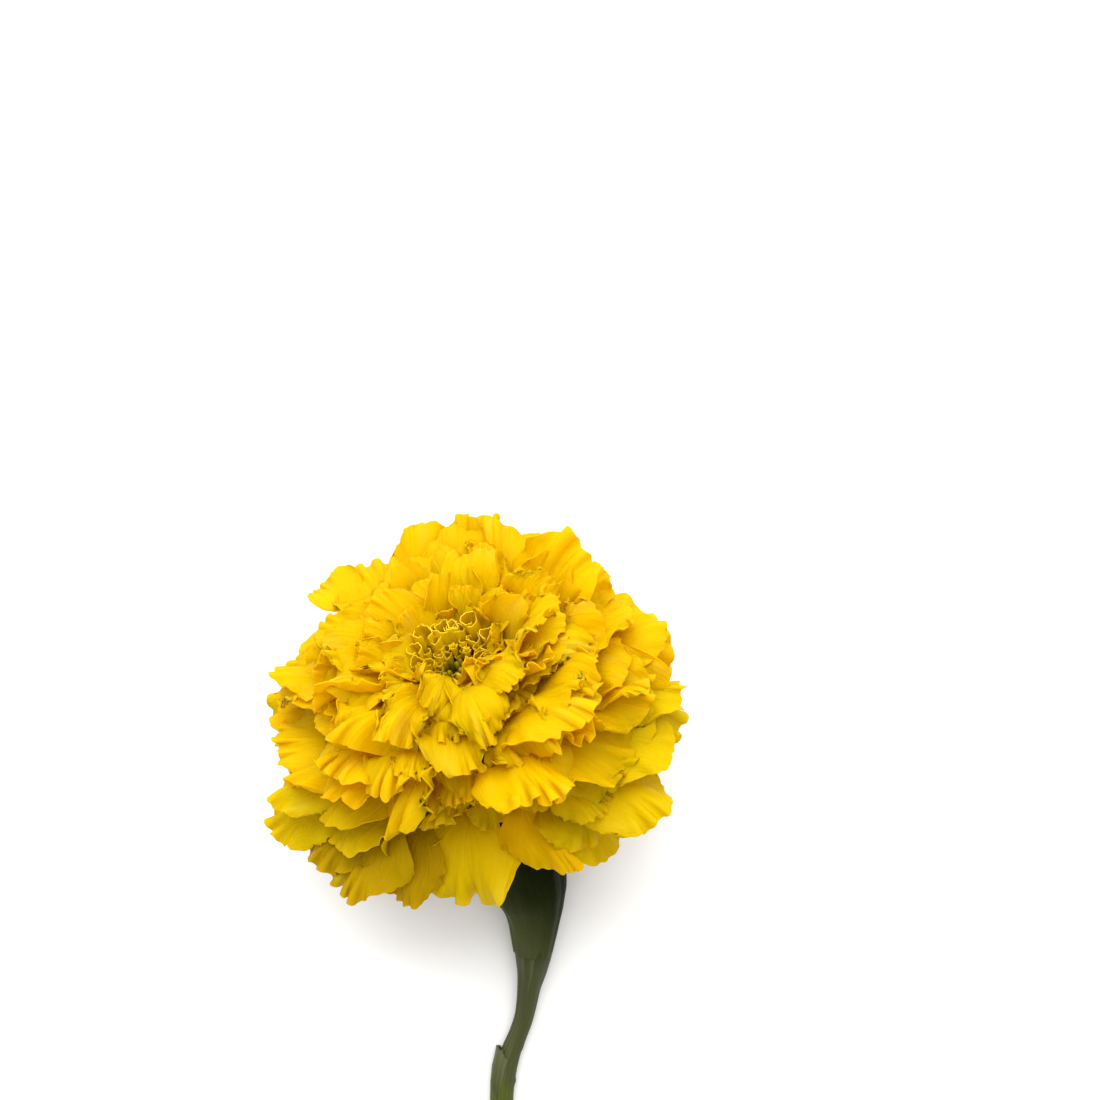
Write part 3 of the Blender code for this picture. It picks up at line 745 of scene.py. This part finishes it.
def bud_finish():
    """Closed florets, olive green with a paler tip."""
    finish = Finish("disc bud")
    across, along, number = finish.place()
    ribs = finish.noise(across * 12.0, along * 1.5, number * 7.0)
    colour = finish.ramp(along, (0.0, srgb(46, 42, 2)), (0.6, srgb(92, 82, 6)), (1.0, srgb(150, 132, 18)))
    return finish.surface(finish.skin(colour, 0.5, 0.1, finish.bump(ribs, 0.2, 0.6)))


def stalk_finish(name, stops, streak, streak_share, relief, specular, lean=0.0):
    """Green with fine streaks along it. The ramp runs down the stalk, further down on its right by
    `lean`."""
    finish = Finish(name)
    around, along, length = finish.place()
    streaks = finish.noise(around * 34.0, length * 0.06, 0.3, 3.0)
    specks = finish.noise(around * 60.0, length * 2.2, 4.7)
    aside = finish.node("ShaderNodeMath", {"operation": "COSINE"}, {0: around * TURN})
    colour = finish.ramp(along - aside * lean, *stops)
    colour = finish.tinted(colour, streak, finish.step(streaks, 0.45, 0.75, streak_share))
    colour = finish.tinted(colour, streak, finish.step(specks, 0.5, 0.8, 0.12))
    normal = finish.bump(streaks * 0.8 + specks * 0.2, relief, 0.7)
    return finish.surface(finish.skin(colour, 0.5, specular, normal))


def pith_finish():
    """Pale pith, greener to the rim of the cut."""
    finish = Finish("cut pith")
    around, out, _ = finish.place()
    grain = finish.noise(around * 30.0, out * 8.0, 0.2)
    colour = finish.ramp(
        out, (0.0, srgb(196, 204, 150)), (0.55, srgb(176, 188, 122)), (0.85, srgb(138, 156, 78)),
        (1.0, srgb(92, 108, 44)),
    )
    colour = finish.tinted(colour, srgb(150, 160, 96), finish.step(grain, 0.4, 0.7, 0.3))
    return finish.surface(finish.skin(colour, 0.6, 0.2, finish.bump(grain, 0.15, 0.6)))


def add_petals():
    inner = petal_finish("petal", srgb(220, 164, 0), srgb(240, 217, 0), srgb(248, 218, 14), 0.6)
    # A darker, more amber copy of the petal colour for the lower, outer tiers: painted shade
    outer_painted_shade = petal_finish("outer petal", srgb(196, 144, 0), srgb(226, 205, 0), srgb(236, 205, 6), 0.46)
    # A darker, deeper amber copy of the petal colour: painted shade for petals in the shade of others
    painted_shade = petal_finish("shaded petal", srgb(160, 108, 0), srgb(198, 164, 0), srgb(212, 174, 4), 0.46)
    finishes = {"shade": painted_shade, **dict.fromkeys(OUTER_TIERS, outer_painted_shade)}
    petals = []
    for tier, petal in main_petals():
        petals.append((tier, petal, PETAL_FOOT, FILL_GRID if petal.crinkle < PLAIN_CRINKLE else PETAL_GRID))
    for tier, petal in fill_petals():
        petals.append((tier, petal, FILL_FOOT, FILL_GRID))
    tiers = {row[0]: Surface() for row in (*TIERS, *PLACED)}
    for number, (tier, petal, foot, (rows, columns)) in enumerate(petals):
        u = np.linspace(-1, 1, columns + 1)[None, :]
        v = foot + (1 - foot) * crowded(rows, ROW_CROWDING)[:, None]
        points = to_part(keep_off_disc(petal.points(u, v)))
        points = lay_on_ground(points, LOWEST + LAYER_RISE * (number % LAYERS))
        tiers[tier].add(points, places_of(u, v, number))
    for tier, surface in tiers.items():
        surface.build("petals_" + tier, finishes.get(tier, inner), "petals", PETAL_THICKNESS)


def add_core():
    """The turned core, fluted like the crowd of claws that it stands for."""
    profile = np.array(CORE_PROFILE)[1:-1]
    around = ring(CORE_COLUMNS)
    height = profile[:, 1:] + 0 * around
    radius = profile[:, :1] * (1 + 0.012 * np.cos(9 * around) + 0.008 * np.cos(23 * around))
    claws = np.sin(0.5 * CORE_CLAWS * around + 0.5 * np.sin(7 * around) + 0.3 * np.sin(17 * around))
    claws = np.abs(claws)
    fluted = smooth(radius, 7, 12) * smooth(12 - height, 0, 6)
    radius = radius - CLAW_DEPTH * (1 - claws) ** 1.5 * fluted
    front = smooth(np.cos(around - CORE_FRONT), 0.2, 0.8)
    radius = radius * (1 - CORE_FRONT_DENT * front * smooth(10 - height, 0, 8) * smooth(radius, 12, 24))
    surface = Surface()
    points = to_part(turned(radius, 0 * radius, height, around))
    surface.add(points, places_of(around / TURN, claws, 0), closed=True, capped=True)
    surface.build("petals_core", painted_shade_core_finish(), "petals")


def add_round(
    surface, foot, tip, rings, number, size=1.0, painted_light=1.0, turn=0.0, lobes=TUBE_LOBES, columns=TUBE_COLUMNS,
):
    """A small closed body along the line from foot to tip, made of rings like BUD_RINGS."""
    foot, tip = np.array(foot), np.array(tip)
    way = tip - foot
    ahead = way / np.linalg.norm(way)
    side = np.cross(ahead, (0.3, 1.0, 0.1))
    side = side / np.linalg.norm(side)
    other = np.cross(ahead, side)
    along, radius, lobe, tone = np.array(rings).T[..., None]
    around = ring(columns)
    wave = np.cos(lobes * (around + turn))
    reach = size * radius * (1 + lobe * wave)
    lift = 0.35 * lobe * size * radius * (1 + wave)
    points = foot + along[..., None] * way + lift[..., None] * ahead
    points = points + (reach * np.cos(around))[..., None] * side
    points = points + (reach * np.sin(around))[..., None] * other
    # The tone is scaled down for the florets in front: painted shade
    places = places_of(around / TURN, tone * painted_light, number)
    surface.add(to_part(points), places, closed=True, capped=True)


def add_disc():
    rng = np.random.default_rng(DISC_SEED)
    buds, tubes, quills = Surface(), Surface(), Surface()
    foot, tip = (0, 0, PLUG_FOOT), (0, 0, PLUG_TIP)
    add_round(buds, foot, tip, PLUG_RINGS, 0, lobes=PLUG_LOBES, columns=PLUG_COLUMNS)
    for number in range(TUBES):
        out = math.sqrt((number + 0.5) / TUBES)
        azimuth = number * GOLDEN_ANGLE + 0.15 * rng.normal()
        reach = TUBE_SPREAD * out * (1 + 0.05 * rng.normal())
        direction = np.array([math.cos(azimuth), math.sin(azimuth), 0.0])
        foot = direction * reach * 0.85 + (0, 0, DISC_FLOOR)
        lean = direction * (0.9 * out + 0.3 * rng.normal()) + 0.3 * rng.normal() * np.array([0, 1, 0])
        if number < BUDS:
            tip = direction * reach + lean * 0.9 + (0, 0, BUD_TIP + 1.0 * out + 0.6 * rng.normal())
            size = BUD_RADIUS + RADIUS_SPREAD * rng.normal()
            add_round(buds, foot, tip, BUD_RINGS, number, size, turn=rng.uniform(0, TURN))
        else:
            # From 0 in front to 1 at the back: lightens the tone as painted light, and raises the tubes at
            # the back
            painted_light = smooth(math.cos(azimuth - BACK), -0.5, 0.6)
            height = TUBE_TIP + 1.2 * painted_light + 2.2 * out + 0.5 * rng.normal()
            tip = direction * reach + lean + (0, 0, height)
            size = TUBE_RADIUS + RADIUS_SPREAD * rng.normal()
            tone = 0.5 + 0.5 * painted_light
            add_round(tubes, foot, tip, TUBE_RINGS, number, size, tone, turn=rng.uniform(0, TURN))
    for count, first, ring_reach, ring_mouth, ring_top, ring_lean, tone in QUILL_RINGS:
        for number in range(count):
            azimuth = math.radians(first + 360 * (number + 0.24 * rng.normal()) / count)
            behind = math.cos(azimuth - BACK)
            if ring_reach > OPEN_FRONT and behind < -0.6:
                continue
            # Quills in front are given a darker tone: painted shade
            painted_light = 0.62 + 0.38 * smooth(behind, -0.6, 0.3)
            reach = ring_reach * (1 + 0.08 * rng.normal())
            mouth = ring_mouth * rng.uniform(0.65, 1.15)
            top = ring_top + 0.8 * behind + 0.6 * rng.normal()
            lean = ring_lean * (0.4 - 1.0 * behind + 0.5 * rng.normal())
            add_quill(quills, rng, azimuth, reach, mouth, top, lean, tone * painted_light)
    buds.build("disc_buds", bud_finish(), "disc_florets")
    finish = floret_finish()
    tubes.build("disc_tubes", finish, "disc_florets")
    quills.build("disc_quills", finish, "disc_florets", QUILL_THICKNESS)


def add_quill(surface, rng, azimuth, reach, mouth, top, lean, tone):
    """A floret rolled into a tube that flares to a wavy mouth and leans outwards."""
    rows, columns = QUILL_GRID
    v = crowded(rows, QUILL_CROWDING)[:, None]
    s = np.linspace(0, 1, columns + 1)[None, :]
    turns = rng.uniform(0.85, 1.5)
    phase = rng.uniform(0, TURN, 4)
    around = phase[0] + turns * TURN * s
    lobes = 0.16 * np.sin(3 * around + phase[1]) + 0.06 * np.sin(8 * around + phase[2])
    radius = mouth * (0.4 + 0.64 * np.sin(2.0 * v) ** 1.5) * (1.2 - 0.5 * s) * (1 + v**4 * lobes)
    waves = 0.22 * np.sin(2 * around + phase[3]) + 0.08 * np.sin(7 * around + phase[1])
    height = DISC_FLOOR + (top - DISC_FLOOR) * v + mouth * v**3 * waves
    outward = radius * np.cos(around)
    height = height - 0.32 * lean / mouth * outward * v
    outward = outward + reach + lean * (v**1.5 - 0.4)
    points = to_part(turned(outward, radius * np.sin(around), height, azimuth))
    number = 60 + 10 * azimuth  # one for each, so that their grain differs
    surface.add(points, places_of(s, tone * (0.25 + 0.75 * v), number))


def stations_of(route, steps):
    """Points on a smooth curve through a route's stations, with the radius and the heading at each."""
    stations = np.array(route)
    padded = np.vstack([2 * stations[0] - stations[1], stations, 2 * stations[-1] - stations[-2]])
    curve = []
    for index in range(1, len(padded) - 2):
        before, here, there, after = padded[index - 1:index + 3]
        for t in np.arange(steps) / steps:
            bend = (2 * before - 5 * here + 4 * there - after) * t**2
            bend = bend + (3 * here - before - 3 * there + after) * t**3
            curve.append(here + 0.5 * ((there - before) * t + bend))
    curve = np.array([*curve, stations[-1]])
    centres = curve[:, :3] + (BLOOM_CENTRE.x, BLOOM_CENTRE.y, 0)
    headings = np.gradient(centres, axis=0)
    return centres, curve[:, 3], headings / np.linalg.norm(headings, axis=1)[:, None]


def lengths_along(centres):
    """How far along the line through the centres each of them lies."""
    return np.append(0, np.cumsum(np.linalg.norm(np.diff(centres, axis=0), axis=1)))[:, None]


def sweep(centres, radii, headings, around, shape):
    """Rings of points round the stations, where `shape` scales the radius by place."""
    side = np.array([1.0, 0, 0]) - headings * headings[:, :1]
    side = side / np.linalg.norm(side, axis=1)[:, None]
    other = np.cross(headings, side)
    reach = radii[:, None] * shape
    return (
        centres[:, None] + (reach * np.cos(around))[..., None] * side[:, None]
        + (reach * np.sin(around))[..., None] * other[:, None]
    )


def add_involucre():
    centres, radii, headings = stations_of(INVOLUCRE_ROUTE, INVOLUCRE_STEPS)
    headings[0] = -np.array(BLOOM_AXIS)
    around = ring(INVOLUCRE_COLUMNS)
    shape = 1 - RIB_DEPTH + RIB_DEPTH * np.cos(RIBS * around) + RIB_GROOVES * np.cos(3 * RIBS * around)
    points = sweep(centres, radii, headings, around, shape)
    rows = len(centres)
    fade = np.clip(1 - np.linspace(0, rows / INVOLUCRE_STEPS, rows), 0, 1)[:, None]
    teeth = 0.5 * TOOTH_DEPTH * (1 + np.cos(RIBS * around)) * fade
    points = points - teeth[..., None] * np.array(BLOOM_AXIS)
    length = lengths_along(centres)
    surface = Surface()
    surface.add(points, places_of(around / TURN, length / length[-1], length), closed=True, capped=True)
    # Darkest next to the bloom, under the petals: partly the cup's own dark green, partly painted shade
    stops = (
        (0.0, srgb(10, 16, 1)), (0.45, srgb(12, 18, 1)), (0.66, srgb(28, 34, 8)), (0.84, srgb(56, 61, 30)),
        (1.0, srgb(70, 75, 43)),
    )
    finish = stalk_finish("involucre", stops, srgb(42, 50, 18), 0.25, 0.3, 0.03, 0.16)
    surface.build("cup", finish, "involucre")


def stem_shape(around):
    """The stem's ridges, as shares of its radius."""
    return 1 - STEM_RIDGE_DEPTH + STEM_RIDGE_DEPTH * np.cos(STEM_RIDGES * around)


def add_stem():
    centres, radii, headings = stations_of(STEM_ROUTE, STEM_STEPS)
    around = ring(STEM_COLUMNS)
    along = centres[:, 1:2] - BLOOM_CENTRE.y
    swelling = sum(swell * np.exp(-(((along - place) / reach) ** 2)) for place, reach, swell in STEM_NODES)
    swelling = swelling * smooth(np.cos(around), -0.2, 1.0)
    shape = stem_shape(around) + STEM_GROOVES * np.cos(3 * STEM_RIDGES * around) + swelling
    points = sweep(centres, radii, headings, around, shape)
    length = lengths_along(centres)
    surface = Surface()
    surface.add(points, places_of(around / TURN, length / length[-1], length), closed=True, capped=True)
    stops = (
        (0.0, srgb(48, 53, 24)), (0.05, srgb(64, 68, 37)), (0.36, srgb(64, 68, 34)),
        (0.385, srgb(70, 78, 20)), (1.0, srgb(72, 82, 20)),
    )
    finish = stalk_finish("stem", stops, srgb(96, 100, 66), 0.5, 0.22, 0.12, 0.025)
    surface.build("stalk", finish, "stem")
    stops = ((0.0, srgb(56, 61, 28)), (1.0, srgb(84, 88, 56)))
    add_stub(stalk_finish("bract stub", stops, srgb(104, 108, 74), 0.5, 0.2, 0.14))
    add_cut_end(centres[-1], radii[-1], headings[-1])


def add_stub(finish):
    """The torn base of a bract: a sheet that clasps the stem at its node and stands off it at its tip."""
    x, y, height, radius = np.array(STEM_ROUTE[::-1]).T
    rows, columns = STUB_GRID
    t = np.linspace(0, 1, rows + 1)[:, None]
    around = np.radians(np.linspace(*STUB_ARC, columns + 1))[None, :]
    aside = (around - math.pi) / STUB_HALF_ARC
    top = STUB_TOP - 2.6 * aside**2 - 0.35 * np.abs(np.sin(6.5 * aside + 0.6)) + 0.12 * np.sin(31 * aside)
    along = STUB_FOOT + (top - STUB_FOOT) * t
    off = STUB_STAND * t**1.7 * (1 - 0.5 * aside**2) - 0.3 * (1 - t) ** 0.5 - 0.25 * np.abs(aside) ** 5
    reach = np.interp(along, y, radius) + off
    points = np.stack([
        BLOOM_CENTRE.x + np.interp(along, y, x) + reach * np.cos(around), BLOOM_CENTRE.y + along,
        np.interp(along, y, height) + reach * np.sin(around),
    ], axis=-1)
    surface = Surface()
    points = lay_on_ground(points, 0.5 * STUB_THICKNESS + 0.05)
    surface.add(points, places_of(around / TURN, t, along))
    surface.build("bract_stub", finish, "stem", STUB_THICKNESS)


def add_cut_end(centre, radius, heading):
    """The cut across the stem: a green rim, and the pale pith sunk a little in it."""
    share, height, out = np.array(CUT_RINGS).T
    around = ring(STEM_COLUMNS)
    centres = np.tile(centre, (len(share), 1))
    headings = np.tile(heading, (len(share), 1))
    points = sweep(centres, radius * share, headings, around, stem_shape(around))
    height = height[:, None] - 0.02 * np.sin(STEM_RIDGES * around) * share[:, None]
    points = points + height[..., None] * heading
    surface = Surface()
    surface.add(points, places_of(around / TURN, out[:, None], 0), closed=True, capped=True)
    surface.build("cut_end", pith_finish(), "stem")


def add_floor():
    mesh = bpy.data.meshes.new("floor")
    far = FLOOR_REACH
    mesh.from_pydata([(-far, -far, 0), (far, -far, 0), (far, far, 0), (-far, far, 0)], [], [(0, 1, 2, 3)])
    paper = Finish("floor")
    paper.surface(paper.skin(srgb(250, 250, 249), 0.9, 0.1))
    mesh.materials.append(paper.material)
    link("floor", mesh)


def add_light(name, place, width, power):
    light = bpy.data.lights.new(name, "AREA")
    light.size = width
    light.energy = power
    obj = link(name, light)
    obj.location = place
    obj.rotation_euler = (LIT_SPOT - Vector(place)).to_track_quat("-Z", "Y").to_euler()


def add_world():
    """Even white light from all sides, and colours shown as they are."""
    world = bpy.data.worlds.new("world")
    world.use_nodes = True
    background = world.node_tree.nodes["Background"]
    background.inputs["Color"].default_value = (1, 1, 1, 1)
    background.inputs["Strength"].default_value = SKY_STRENGTH
    scene = bpy.context.scene
    scene.world = world
    scene.view_settings.view_transform = "Standard"
    scene.cycles.diffuse_bounces = 8


def add_camera():
    """Straight above the flower, looking down."""
    lens = bpy.data.cameras.new("camera")
    lens.lens = CAMERA_LENS
    lens.sensor_width = SENSOR_WIDTH
    camera = link("camera", lens)
    camera.location = CAMERA_PLACE
    bpy.context.scene.camera = camera


add_petals()
add_core()
add_disc()
add_involucre()
add_stem()
add_floor()
for light in LIGHTS:
    add_light(*light)
add_world()
add_camera()
